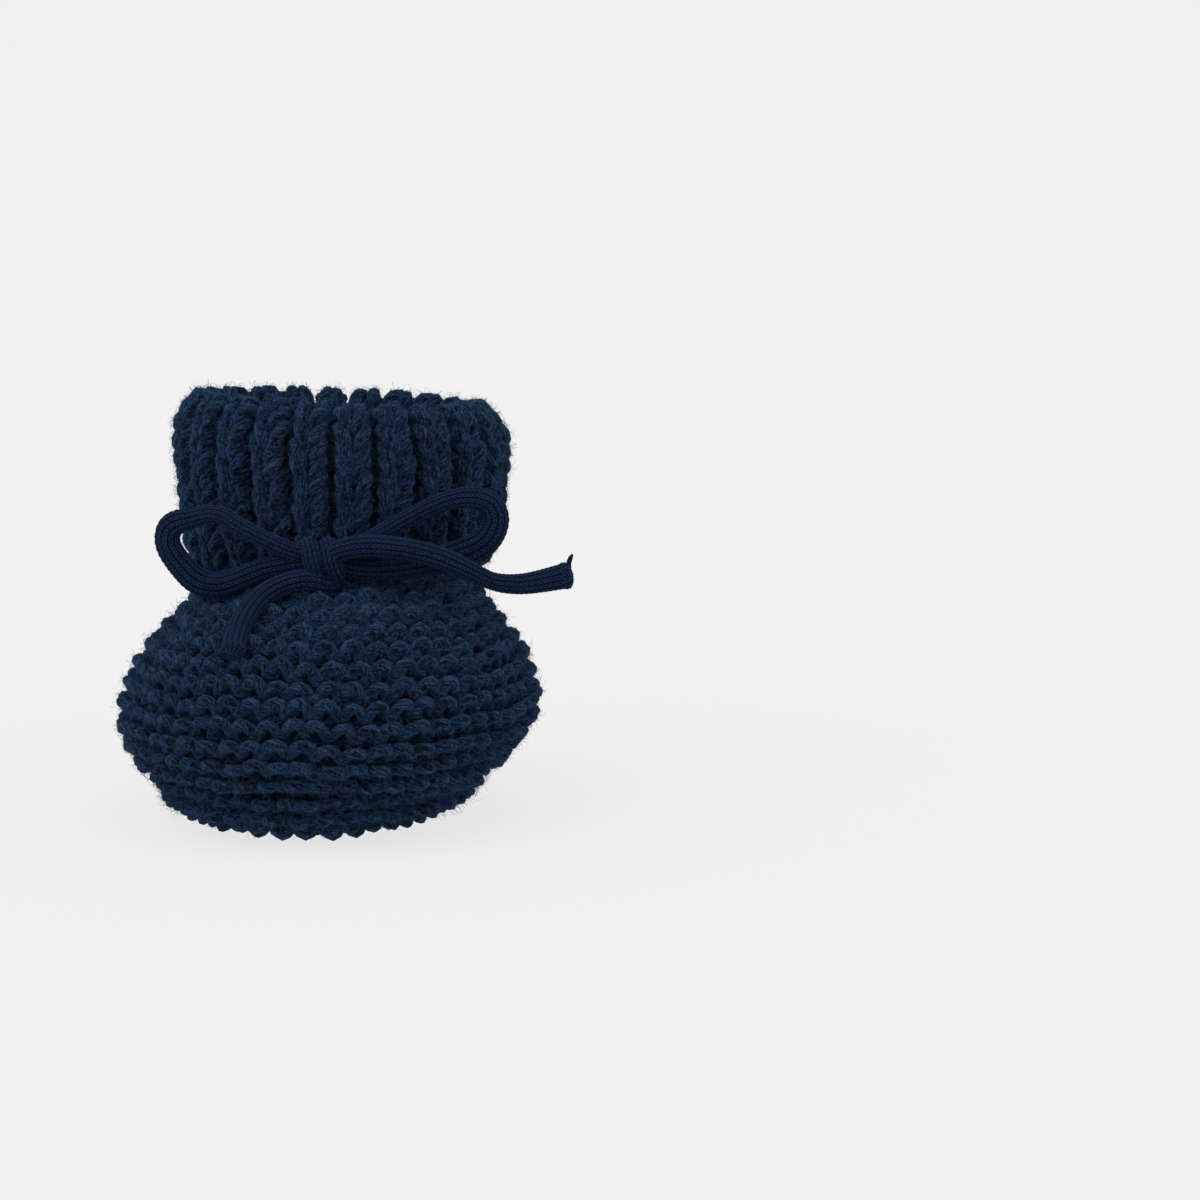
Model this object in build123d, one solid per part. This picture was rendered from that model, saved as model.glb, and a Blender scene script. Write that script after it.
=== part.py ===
from build123d import *
import math
import os

# Knitted baby bootie. Millimetres, +Z up, toe towards -Y, origin under the middle of the foot.

# Driving dimensions
WALL = 3.0            # thickness of one layer of knitting
SOLE_TOP = 11.0       # height of the crease between the sole band and the foot
FOOT_TOP = 44.5       # height where the foot meets the gathered ankle
LEG_TOP = 77.0        # height of the inner ribbed leg, just under the fold
CUFF_TOP = 81.0       # height of the turned-down cuff's fold
FOLD_ROUND = 2.4      # rounding of the cuff's fold
INSTEP_DROP = 2.6     # how far the lining of the instep lies below its outside
CORD_D = 4.4          # knitted drawstring
YARN_D = 1.2          # sewing yarn of the seams
YARN_SINK = 0.5       # how deep the seam yarn lies in the knitting
KNOT = Vector(0.4, -17.5, 50.3)
KNOT_R = 3.2
ROOT = 3.9            # distance from the knot's middle to where a strand begins
ROOT_D = 2.4          # a strand squeezed by the knot
ROOT_TAPER = 3.0      # length over which it swells to its full thickness
CORNER_SHARE = 0.45   # share of a run that its corner's arc takes
END_CAP = 1.6         # length of the cast-off at a tail's end

# Horizontal outlines of the outside: height, half width, front, widest line, back
SOLE_RINGS = [
    (0.0, 21.5, -30.0, -4.0, 33.0),
    (2.5, 27.0, -36.5, -4.0, 39.0),
    (6.0, 31.5, -41.5, -4.0, 43.0),
    (SOLE_TOP, 35.8, -45.0, -4.0, 46.0),
]
FOOT_RINGS = [
    (SOLE_TOP, 35.8, -45.0, -4.0, 46.0),
    (21.0, 40.2, -48.0, -4.0, 48.0),
    (30.0, 37.5, -43.0, -2.0, 46.5),
    (36.0, 32.5, -35.0, 2.0, 44.0),
    (41.0, 27.5, -22.5, 8.0, 41.5),
    (FOOT_TOP, 24.4, -11.5, 14.0, 39.6),
]
LEG_RINGS = [
    (FOOT_TOP, 23.8, -9.0, 14.5, 39.0),
    (49.5, 23.9, -7.4, 14.7, 38.8),
    (55.0, 25.6, -7.0, 15.5, 39.0),
    (61.0, 27.0, -6.9, 16.0, 39.2),
    (69.0, 28.0, -7.0, 16.2, 39.4),
    (LEG_TOP, 28.4, -7.0, 16.3, 39.5),
]
CUFF_RINGS = [
    (50.0, 30.4, -11.2, 15.8, 42.4),
    (57.0, 31.5, -11.6, 16.0, 43.1),
    (69.0, 32.5, -11.8, 16.2, 43.6),
    (CUFF_TOP, 31.2, -11.0, 16.2, 42.8),
]
CUFF_HOLLOW_SIDE = 3.4    # cuff's own thickness down its side

# Drawstring routes, from the knot outwards
LEFT_LOOP = [
    (-14.5, -16.8, 60.4), (-22.0, -14.8, 61.6), (-28.0, -13.0, 59.0), (-30.3, -12.4, 53.8),
    (-28.0, -12.5, 48.8), (-22.0, -13.6, 45.8), (-15.0, -14.6, 45.3),
]
LEFT_LOOP_OUT = Vector(-0.70, -0.30, 0.65)
LEFT_LOOP_BACK = Vector(-0.85, 0.25, -0.46)
RIGHT_LOOP = [
    (15.5, -15.6, 60.6), (23.5, -13.8, 62.2), (30.6, -12.4, 60.4), (33.2, -11.9, 55.4),
    (30.0, -12.1, 50.6), (23.5, -13.0, 48.0), (16.0, -13.7, 46.4),
]
RIGHT_LOOP_OUT = Vector(0.66, 0.05, 0.75)
RIGHT_LOOP_BACK = Vector(0.80, 0.35, -0.49)
RIGHT_TAIL = [
    (16.8, -21.4, 50.9), (24.8, -20.6, 48.6), (33.0, -20.0, 45.8), (40.5, -19.4, 45.4),
    (45.4, -18.8, 46.9),
]
RIGHT_TAIL_OUT = Vector(0.80, -0.60, 0.05)
LEFT_TAIL = [(-9.5, -27.2, 42.9), (-13.1, -33.0, 40.2), (-14.2, -38.2, 37.0)]
LEFT_TAIL_OUT = Vector(-0.42, -0.66, -0.60)
FIRST_RUN = 6.0       # straight run of a strand out of the knot

# Middle line of the drawstring where it is threaded round the ankle
ANKLE_RING = (47.4, 24.4, -9.8, 14.5, 39.4)


def oval(height, half_width, front, widest, back):
    """Egg-shaped outline: a half ellipse towards the toe and one towards the heel."""
    toe = EllipticalCenterArc((0, widest), half_width, widest - front, 180, arc_size=180)
    heel = EllipticalCenterArc((0, widest), half_width, back - widest, 0, arc_size=180)
    return Plane.XY.offset(height) * make_face([toe, heel])


def smooth(rings):
    """Solid through a stack of outlines."""
    return loft([oval(*ring) for ring in rings])


def inset(ring, gap, drop=0.0):
    """The outline moved inwards by a gap, and down by a drop."""
    height, half_width, front, widest, back = ring
    return (height - drop, half_width - gap, front + gap, widest, back - gap)


def column(ring, low, high):
    """Upright prism of one outline, from a low height to a high one."""
    return extrude(oval(low, *ring[1:]), high - low)


def corner_radii(points):
    """One radius for each corner, as large as its two runs allow."""
    radii = []
    for before, here, after in zip(points, points[1:], points[2:]):
        turn = (here - before).get_angle(after - here)
        run = min((here - before).length, (after - here).length)
        radii.append(CORNER_SHARE * run / math.tan(math.radians(turn / 2)))
    return radii


def tube(name, points, diameter):
    """Round tube along straight runs joined by tangent arcs."""
    points = [Vector(*point) for point in points]
    radii = corner_radii(points)
    path = FilletPolyline(*points, radius=radii)
    section = Plane(origin=path @ 0, z_dir=path % 0) * Circle(diameter / 2)
    solid = sweep(section, path=path)
    expected = math.pi * diameter**2 / 4 * path.length
    print(name, "length", round(path.length, 1), "radii", [round(r, 1) for r in radii])
    print(name, "volume", round(solid.volume, 1), "section times length", round(expected, 1))
    return solid


def root_cone(direction):
    """The squeezed start of a strand, swelling away from the knot."""
    start = Plane(origin=KNOT + direction * ROOT, z_dir=direction)
    return loft([start * Circle(ROOT_D / 2), start.offset(ROOT_TAPER) * Circle(CORD_D / 2)])


def root_slug(direction):
    """Full-width plug of the stretch that the cone takes the place of."""
    start = Plane(origin=KNOT + direction * ROOT, z_dir=direction)
    return start * Cylinder(CORD_D, ROOT_TAPER, align=(Align.CENTER, Align.CENTER, Align.MIN))


def strand(name, out, points, back=None):
    """A loop or a tail of the bow, from the knot along its route."""
    out = out.normalized()
    route = [KNOT + out * ROOT, KNOT + out * (ROOT + FIRST_RUN), *(Vector(*p) for p in points)]
    roots = [out]
    if back is not None:
        back = back.normalized()
        route += [KNOT + back * (ROOT + FIRST_RUN), KNOT + back * ROOT]
        roots.append(back)
    solid = tube(name, route, CORD_D)
    for root in roots:
        solid = solid - root_slug(root)
    for root in roots:
        solid = solid + root_cone(root)
    return solid, route


def cast_off(route):
    """The sewn end of a tail, with a short nib of thread."""
    end, before = route[-1], route[-2]
    along = (end - before).normalized()
    cap = Plane(origin=end, z_dir=along) * Cylinder(
        CORD_D / 2, END_CAP, align=(Align.CENTER, Align.CENTER, Align.MIN)
    )
    return fillet(cap.edges().group_by(lambda edge: (edge.center() - end).dot(along))[-1], 0.8)


os.makedirs("parts", exist_ok=True)

# Sole: a shallow dish of knitting, flat underneath
sole_lining = [inset(ring, WALL) for ring in SOLE_RINGS[1:]]
sole_lining = [(WALL, *inset(SOLE_RINGS[1], WALL)[1:]), *sole_lining[1:]]
sole = smooth(SOLE_RINGS) - smooth(sole_lining)

# Foot: the garter-stitch wall from the crease to the ankle
foot_lining = [inset(FOOT_RINGS[0], WALL)]
for ring in FOOT_RINGS[1:]:
    rise = (ring[0] - SOLE_TOP) / (FOOT_TOP - SOLE_TOP)
    foot_lining.append(inset(ring, WALL, INSTEP_DROP * rise))
ankle_hole = column(inset(LEG_RINGS[0], WALL), FOOT_TOP - WALL, FOOT_TOP)
foot_upper = smooth(FOOT_RINGS) - smooth(foot_lining) - ankle_hole

# Leg: the inner layer of rib, gathered at the ankle
leg_lining = [inset(ring, WALL) for ring in LEG_RINGS]
leg_rib = smooth(LEG_RINGS) - smooth(leg_lining)

# Cuff: the outer layer, turned down over the leg, with its fold on top
cuff_lining = [inset(ring, CUFF_HOLLOW_SIDE) for ring in CUFF_RINGS[:-1]]
cuff_lining.append((LEG_TOP, *inset(CUFF_RINGS[2], CUFF_HOLLOW_SIDE)[1:]))
cuff = smooth(CUFF_RINGS) - column(inset(LEG_RINGS[-1], WALL), LEG_TOP, CUFF_TOP)
cuff = cuff - smooth(cuff_lining)
fold_edges = cuff.faces().sort_by(Axis.Z)[-1].edges()
cuff = fillet(fold_edges, FOLD_ROUND)

# Seams: sewing yarn up the heel and along the inside of the sole
heel_points = [(0, ring[4] - YARN_SINK, ring[0]) for ring in FOOT_RINGS]
heel_points[-1] = (0, FOOT_RINGS[-1][4] - YARN_SINK, FOOT_TOP - YARN_D)
back_seam_yarn = tube("back_seam_yarn", heel_points, YARN_D)
sole_line = WALL + YARN_D / 2 - YARN_SINK
sole_seam_yarn = tube(
    "sole_seam_yarn",
    [(0, -26.0, sole_line), (0.5, -5.0, sole_line), (-0.4, 12.0, sole_line), (0, 30.0, sole_line)],
    YARN_D,
)

# Drawstring: threaded round the ankle, coming out at the front to the knot
ankle_path = oval(*ANKLE_RING).face().outer_wire()
ankle_section = Plane(origin=ankle_path @ 0, z_dir=ankle_path % 0) * Circle(CORD_D / 2)
ankle_drawstring = sweep(ankle_section, path=ankle_path)
throat_start = Vector(KNOT.X, ANKLE_RING[2], ANKLE_RING[0])
throat = Plane(origin=throat_start, z_dir=KNOT - throat_start) * Cylinder(
    CORD_D / 2, (KNOT - throat_start).length, align=(Align.CENTER, Align.CENTER, Align.MIN)
)
bow_knot = Pos(KNOT) * Sphere(KNOT_R)
ankle_drawstring = ankle_drawstring + (throat - bow_knot)

# Bow
left_loop, _ = strand("left_loop", LEFT_LOOP_OUT, LEFT_LOOP, LEFT_LOOP_BACK)
right_loop, _ = strand("right_loop", RIGHT_LOOP_OUT, RIGHT_LOOP, RIGHT_LOOP_BACK)
left_tail, left_route = strand("left_tail", LEFT_TAIL_OUT, LEFT_TAIL)
right_tail, right_route = strand("right_tail", RIGHT_TAIL_OUT, RIGHT_TAIL)

parts = {
    "sole": sole,
    "foot_upper": foot_upper,
    "leg_rib": leg_rib,
    "turned_cuff": cuff,
    "back_seam_yarn": back_seam_yarn,
    "sole_seam_yarn": sole_seam_yarn,
    "ankle_drawstring": ankle_drawstring,
    "bow_knot": bow_knot,
    "left_loop": left_loop,
    "right_loop": right_loop,
    "left_tail": left_tail,
    "right_tail": right_tail,
    "left_tail_cast_off": cast_off(left_route),
    "right_tail_cast_off": cast_off(right_route),
}
for name, shape in parts.items():
    export_step(shape, f"parts/{name}.step")
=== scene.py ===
"""Knitted baby bootie: the looks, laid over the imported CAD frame."""

import math

import bpy
import numpy as np
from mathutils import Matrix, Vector


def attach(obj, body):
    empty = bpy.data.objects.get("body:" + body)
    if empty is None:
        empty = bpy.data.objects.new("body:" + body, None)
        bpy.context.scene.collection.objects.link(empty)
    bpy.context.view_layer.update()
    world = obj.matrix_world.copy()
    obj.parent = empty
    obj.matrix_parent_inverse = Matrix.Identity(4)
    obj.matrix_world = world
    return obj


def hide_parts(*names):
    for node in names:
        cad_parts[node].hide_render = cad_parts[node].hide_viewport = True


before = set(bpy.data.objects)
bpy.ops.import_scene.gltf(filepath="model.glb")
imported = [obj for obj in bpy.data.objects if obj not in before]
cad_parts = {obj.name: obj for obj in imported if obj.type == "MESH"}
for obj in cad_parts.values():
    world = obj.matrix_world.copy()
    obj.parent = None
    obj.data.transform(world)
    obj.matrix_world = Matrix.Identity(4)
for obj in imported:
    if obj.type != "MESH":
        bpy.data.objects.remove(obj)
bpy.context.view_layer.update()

bl_info = {
    "name": "Knitted Baby Bootie",
    "version": (1, 0, 0),
    "blender": (4, 5, 0),
    "location": "View3D > Sidebar > Bootie",
    "description": "Builds a garter and rib knitted bootie with its tied drawstring",
    "category": "Object",
}

MM = 0.001
FULL_TURN = 2 * math.pi
ROOT_BODY = "root"

# Outlines of the fabric in millimetres: height, half width, front, widest line, back, sideways
SOLE_RINGS = [
    (3.6, 1.0, -3.0, -1.0, 1.0, -1.5),
    (3.5, 8.0, -14.0, -2.0, 15.0, -1.5),
    (3.5, 18.8, -29.6, -4.0, 30.8, -1.8),
    (4.3, 24.2, -36.0, -4.0, 37.0, -2.0),
    (6.7, 27.9, -39.6, -4.0, 40.6, -1.8),
    (9.7, 30.3, -41.3, -4.0, 42.4, -1.7),
]
FOOT_RINGS = [
    (10.2, 30.6, -41.6, -4.0, 42.8, -1.7),
    (14.0, 34.4, -44.5, -4.0, 44.5, -1.1),
    (18.5, 36.9, -46.0, -4.0, 45.6, -0.3),
    (23.5, 37.4, -45.4, -3.5, 45.6, 0.4),
    (30.0, 34.9, -41.6, -2.0, 44.2, 0.7),
    (36.0, 29.7, -34.2, 2.0, 41.6, 0.9),
    (41.0, 25.3, -24.0, 8.0, 39.2, 0.8),
    (45.2, 21.8, -12.5, 14.0, 37.0, 0.6),
]
ANKLE_RINGS = [
    (43.6, 21.8, -11.0, 14.5, 36.8, 0.6),
    (48.0, 21.6, -9.0, 14.5, 36.6, 0.6),
    (56.0, 24.0, -6.0, 15.5, 37.6, 0.6),
]
CUFF_RINGS = [
    (46.6, 26.4, -9.6, 15.4, 38.8, 0.9),
    (49.5, 27.8, -9.6, 15.6, 39.9, 1.0),
    (56.0, 29.1, -9.8, 16.0, 41.0, 1.2),
    (64.0, 30.1, -10.0, 16.2, 41.6, 1.3),
    (70.0, 30.3, -10.0, 16.2, 41.6, 1.2),
    (74.3, 29.3, -9.2, 16.2, 40.8, 1.1),
    (76.7, 27.2, -7.2, 16.2, 38.8, 1.0),
    (75.9, 25.2, -5.0, 16.2, 36.6, 0.8),
    (71.0, 24.2, -3.8, 16.2, 35.6, 0.8),
    (62.0, 23.6, -3.4, 16.0, 35.2, 0.8),
    (52.0, 21.4, -3.0, 15.2, 34.4, 0.7),
    (46.0, 19.6, -3.4, 14.6, 33.6, 0.6),
]
LINING_RINGS = [
    (3.4, 1.0, -3.0, -1.0, 1.0, -1.5),
    (3.4, 16.0, -25.5, -4.0, 28.0, -1.8),
    (4.8, 21.8, -32.6, -4.0, 34.6, -2.0),
    (10.0, 28.6, -39.4, -4.0, 40.8, -1.7),
    (14.0, 32.2, -42.2, -4.0, 42.2, -1.1),
    (18.5, 34.6, -43.6, -4.0, 43.3, -0.3),
    (23.5, 35.1, -43.0, -3.5, 43.3, 0.4),
    (30.0, 32.6, -39.2, -2.0, 41.9, 0.7),
    (36.0, 27.4, -31.6, 2.0, 39.2, 0.9),
    (41.0, 23.0, -21.0, 8.0, 36.8, 0.8),
    (46.0, 20.4, -9.6, 14.4, 35.4, 0.6),
    (52.0, 22.6, -5.6, 15.2, 36.0, 0.7),
    (62.0, 26.8, -6.8, 16.0, 38.2, 1.0),
    (70.0, 27.2, -6.9, 16.2, 38.6, 1.0),
    (73.6, 26.8, -6.5, 16.2, 38.2, 0.9),
    (73.2, 25.8, -5.5, 16.2, 37.2, 0.9),
    (62.0, 25.6, -5.6, 16.0, 37.0, 1.0),
    (52.0, 21.8, -4.8, 15.2, 35.2, 0.7),
    (46.0, 19.4, -8.6, 14.4, 34.4, 0.6),
    (41.0, 21.8, -19.6, 8.0, 35.6, 0.8),
    (36.0, 26.2, -30.2, 2.0, 38.0, 0.9),
    (30.0, 31.4, -37.8, -2.0, 40.6, 0.7),
    (20.0, 33.2, -42.0, -4.0, 41.8, -0.3),
    (10.0, 27.2, -38.0, -4.0, 39.4, -1.7),
    (6.0, 20.5, -31.0, -4.0, 33.2, -2.0),
    (4.8, 12.0, -18.0, -4.0, 20.0, -1.8),
    (4.6, 1.0, -3.0, -1.0, 1.0, -1.5),
]
RIM_LEAN = 0.05
RIM_FROM = 50 * MM
RIM_TO = 77 * MM

# Routes of the drawstring's strands, in metres, from the knot's middle and back
LEFT_LOOP = [
    (0.0004, -0.0175, 0.0503), (-0.0052, -0.0188, 0.0518), (-0.0101, -0.0188, 0.0541),
    (-0.0150, -0.0178, 0.0564), (-0.0188, -0.0166, 0.0590), (-0.0234, -0.0154, 0.0579),
    (-0.0282, -0.0138, 0.0566), (-0.0291, -0.0132, 0.0528), (-0.0264, -0.0134, 0.0488),
    (-0.0231, -0.0140, 0.0455), (-0.0184, -0.0148, 0.0449), (-0.0135, -0.0160, 0.0472),
    (-0.0083, -0.0170, 0.0492), (0.0004, -0.0175, 0.0503),
]
RIGHT_LOOP = [
    (0.0004, -0.0175, 0.0503), (0.0036, -0.0180, 0.0516), (0.0076, -0.0176, 0.0532),
    (0.0123, -0.0166, 0.0557), (0.0172, -0.0154, 0.0584), (0.0221, -0.0144, 0.0607),
    (0.0266, -0.0134, 0.0616), (0.0306, -0.0126, 0.0608), (0.0323, -0.0122, 0.0578),
    (0.0312, -0.0122, 0.0543), (0.0284, -0.0126, 0.0518), (0.0240, -0.0130, 0.0504),
    (0.0180, -0.0136, 0.0490), (0.0111, -0.0148, 0.0482), (0.0043, -0.0164, 0.0488),
    (0.0004, -0.0175, 0.0503),
]
RIGHT_TAIL = [
    (0.0004, -0.0175, 0.0503), (0.0030, -0.0198, 0.0520), (0.0062, -0.0211, 0.0531),
    (0.0100, -0.0216, 0.0534), (0.0155, -0.0212, 0.0528), (0.0214, -0.0206, 0.0514),
    (0.0273, -0.0202, 0.0487), (0.0318, -0.0198, 0.0463), (0.0366, -0.0194, 0.0459),
    (0.0411, -0.0190, 0.0466), (0.0451, -0.0186, 0.0475),
]
LEFT_TAIL = [
    (0.0004, -0.0175, 0.0503), (0.0026, -0.0170, 0.0464), (0.0006, -0.0186, 0.0457),
    (-0.0018, -0.0200, 0.0469), (-0.0052, -0.0208, 0.0466), (-0.0090, -0.0222, 0.0452),
    (-0.0114, -0.0250, 0.0433), (-0.0130, -0.0288, 0.0409), (-0.0139, -0.0328, 0.0384),
    (-0.0141, -0.0366, 0.0360),
]
CORD_WIDTH = 4.4 * MM
ANKLE_HEIGHT = 47.4 * MM
ANKLE_CORD_RADIUS = 2.0 * MM
ANKLE_WAVES, ANKLE_STAND, ANKLE_SWING = 16, -0.5 * MM, 2.4 * MM
KNOT_RADIUS = 1.9 * MM
KNOT_TURNS = 1.55 * FULL_TURN
KNOT_START, KNOT_RUN = -3.0 * MM, 5.6 * MM
KNOT_DEPTH, KNOT_RISE, KNOT_PHASE = 2.3 * MM, 2.5 * MM, 0.9
SOLE_COURSE = 1.95 * MM
SOLE_SCALE = 0.92
BACK_THREAD, SOLE_THREAD = 0.75 * MM, 0.7 * MM

# The room: the floor's half size, the sky, the lamps and the camera
FLOOR_HALF = 40.0
FLOOR_GLOW = 7.55
SKY_STRENGTH = 0.88
LAMPS = [
    ("key_light", (-0.75, -0.80, 1.0), 60.0, 1.35),
    ("fill_light", (0.9, -0.75, 0.8), 80.0, 0.65),
]
CAMERA_TILT = math.radians(7.0)
CAMERA_DISTANCE = 0.570
CAMERA_ASIDE, CAMERA_HEIGHT = 0.0513, 0.0407
CAMERA_LENS, CAMERA_SENSOR = 90.0, 36.0

# Nap: name, the piece it grows on, slot, fibres to a square metre, length factor, seed
NAP = [
    ("foot_nap", "foot_stitches", "garter_knit", 1.22e6, 0.75, 3),
    ("foot_fluff", "foot_stitches", "garter_knit", 1.22e6, 1.25, 21),
    ("sole_nap", "sole_stitches", "garter_knit", 3.2e6, 1.35, 5),
    ("cuff_nap", "cuff_stitches", "rib_knit", 1.75e6, 0.75, 8),
    ("cuff_fluff", "cuff_stitches", "rib_knit", 1.75e6, 1.15, 34),
]
NAP_MIDDLE = (0.0, 8 * MM, 36 * MM)
NAP_LOWEST = 4.0 * MM
NAP_FACING = 0.25
NAP_LEAN = 1.3
NAP_SIZES = (0.35, 1.25)
NAP_BREADTH = 2.6

# Widths along a strand, as factors of the cord's, and how flat it lies
LOOP_WIDTH = [(0.0, 0.74), (0.08, 0.80), (0.36, 0.82), (0.5, 1.0), (0.62, 1.04), (0.9, 1.0),
              (1.0, 0.8)]
LEFT_LOOP_FLAT = [(0, 1), (0.34, 1), (0.46, 1.25), (0.62, 1.3), (0.76, 1.08), (1, 1)]
RIGHT_LOOP_FLAT = [(0, 1), (0.3, 1), (0.5, 1.2), (0.62, 1.35), (0.8, 1.1), (1, 1)]
RIGHT_TAIL_WIDTH = [(0.0, 0.8), (0.1, 0.95), (0.5, 0.98), (0.7, 0.78), (0.86, 0.94), (1.0, 1.12)]
LEFT_TAIL_WIDTH = [(0.0, 0.8), (0.15, 0.95), (0.9, 1.0), (1.0, 1.0)]
CAP_WIDTH = [(0.0, 1.0), (0.3, 1.07), (0.55, 1.02), (0.75, 0.86), (0.9, 0.6), (0.97, 0.35),
             (1.0, 0.1)]
NIB_WIDTH = [(0, 1.0), (0.7, 0.9), (1, 0.45)]


# ---------------------------------------------------------------- properties


class BootieYarn(bpy.types.PropertyGroup):
    """Yarn, stitches and nap."""

    foot_radius: bpy.props.FloatProperty(
        name="Foot Yarn Radius", description="Radius of the yarn in the garter foot",
        default=1.15 * MM, unit="LENGTH")
    rib_radius: bpy.props.FloatProperty(
        name="Rib Yarn Radius", description="Radius of the yarn in the ribbed cuff",
        default=1.24 * MM, unit="LENGTH")
    stitch_width: bpy.props.FloatProperty(
        name="Stitch Width", description="Width of one garter stitch",
        default=4.5 * MM, unit="LENGTH")
    ridge_pitch: bpy.props.FloatProperty(
        name="Ridge Pitch", description="Height from one garter ridge to the next",
        default=3.6 * MM, unit="LENGTH")
    ribs: bpy.props.IntProperty(
        name="Ribs", description="Plump ribs round the cuff", default=22)
    rib_stitch: bpy.props.FloatProperty(
        name="Rib Stitch Height", description="Height of one stitch of a rib",
        default=3.0 * MM, unit="LENGTH")
    nap_length: bpy.props.FloatProperty(
        name="Nap Length", description="Length of a loose fibre", default=1.25 * MM, unit="LENGTH")
    nap_radius: bpy.props.FloatProperty(
        name="Nap Radius", description="Radius of a loose fibre", default=0.02 * MM,
        unit="LENGTH", precision=6)


class BootieColours(bpy.types.PropertyGroup):
    """Colours of the wool and the cord."""

    wool: bpy.props.FloatVectorProperty(
        name="Wool", description="Navy of the knitted fabric", subtype="COLOR",
        default=(0.0041, 0.0079, 0.0195))
    wool_glow: bpy.props.FloatVectorProperty(
        name="Wool Sheen", description="Tint that the nap takes where it catches light",
        subtype="COLOR", default=(0.066, 0.187, 0.322))
    cord: bpy.props.FloatVectorProperty(
        name="Cord", description="Navy of the knitted drawstring", subtype="COLOR",
        default=(0.0066, 0.0142, 0.0360))
    cord_glow: bpy.props.FloatVectorProperty(
        name="Cord Sheen", description="Tint that the cord takes where it catches light",
        subtype="COLOR", default=(0.10, 0.22, 0.42))
    floor: bpy.props.FloatVectorProperty(
        name="Floor", description="Pale floor", subtype="COLOR", default=(0.10, 0.10, 0.10))


# ---------------------------------------------------------------- shader maths


class Sock:
    """A shader socket that takes part in Python expressions."""

    def __init__(self, shader, socket):
        self.shader = shader
        self.socket = socket

    def _math(self, operation, first, second=None):
        values = {0: first} if second is None else {0: first, 1: second}
        return self.shader.node("ShaderNodeMath", {"operation": operation}, values)

    def __add__(self, other):
        return self._math("ADD", self, other)

    def __radd__(self, other):
        return self._math("ADD", other, self)

    def __sub__(self, other):
        return self._math("SUBTRACT", self, other)

    def __rsub__(self, other):
        return self._math("SUBTRACT", other, self)

    def __mul__(self, other):
        return self._math("MULTIPLY", self, other)

    def __rmul__(self, other):
        return self._math("MULTIPLY", other, self)

    def sine(self):
        return self._math("SINE", self)

    def cosine(self):
        return self._math("COSINE", self)

    def clamp(self):
        return self.shader.node("ShaderNodeClamp", {}, {0: self})


class Shader:
    """A material's node tree and its Principled shader."""

    def __init__(self, name):
        self.material = bpy.data.materials.new(name)
        self.material.use_nodes = True
        self.nodes = self.material.node_tree.nodes
        self.links = self.material.node_tree.links
        self.surface = self.nodes["Principled BSDF"]

    def put(self, node, key, value):
        """Links or sets one input socket."""
        target = node.inputs[key]
        if isinstance(value, Sock):
            self.links.new(value.socket, target)
        elif target.type == "RGBA":
            target.default_value = (*value[:3], 1.0)
        else:
            target.default_value = value

    def node(self, kind, settings, values, output=0):
        """Any node: its type, its settings and what its sockets take."""
        made = self.nodes.new(kind)
        for key, value in settings.items():
            setattr(made, key, value)
        for key, value in values.items():
            self.put(made, key, value)
        return Sock(self, made.outputs[output])

    def mix(self, factor, first, second):
        """Blend of two colours."""
        values = {0: factor, 6: first, 7: second}
        return self.node("ShaderNodeMix", {"data_type": "RGBA"}, values, 2)

    def place(self):
        """Object coordinates."""
        return self.node("ShaderNodeTexCoord", {}, {}, "Object")

    def attribute(self, name):
        """A number stored on the piece's points."""
        return self.node("ShaderNodeAttribute", {"attribute_name": name}, {}, "Fac")

    def noise(self, where, scale, detail=2.0, rough=0.55):
        """Fractal noise from 0 to 1."""
        values = {"Vector": where, "Scale": scale, "Detail": detail, "Roughness": rough}
        return self.node("ShaderNodeTexNoise", {}, values, "Fac")

    def bump(self, height, distance, strength=1.0):
        """Feeds the surface's normal."""
        values = {"Height": height, "Distance": distance, "Strength": strength}
        self.put(self.surface, "Normal", self.node("ShaderNodeBump", {}, values, "Normal"))

    def finish(self, colour, roughness, sheen, tint):
        """Colour, roughness and a constant cloth sheen."""
        self.put(self.surface, "Base Color", colour)
        self.put(self.surface, "Roughness", roughness)
        self.surface.inputs["Sheen Weight"].default_value = sheen
        self.surface.inputs["Sheen Roughness"].default_value = 0.45
        self.surface.inputs["Sheen Tint"].default_value = (*tint, 1.0)
        self.surface.inputs["Specular IOR Level"].default_value = 0.02
        return self.material


def times(colour, factor):
    """A colour made darker or lighter."""
    return tuple(part * factor for part in colour)


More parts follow.
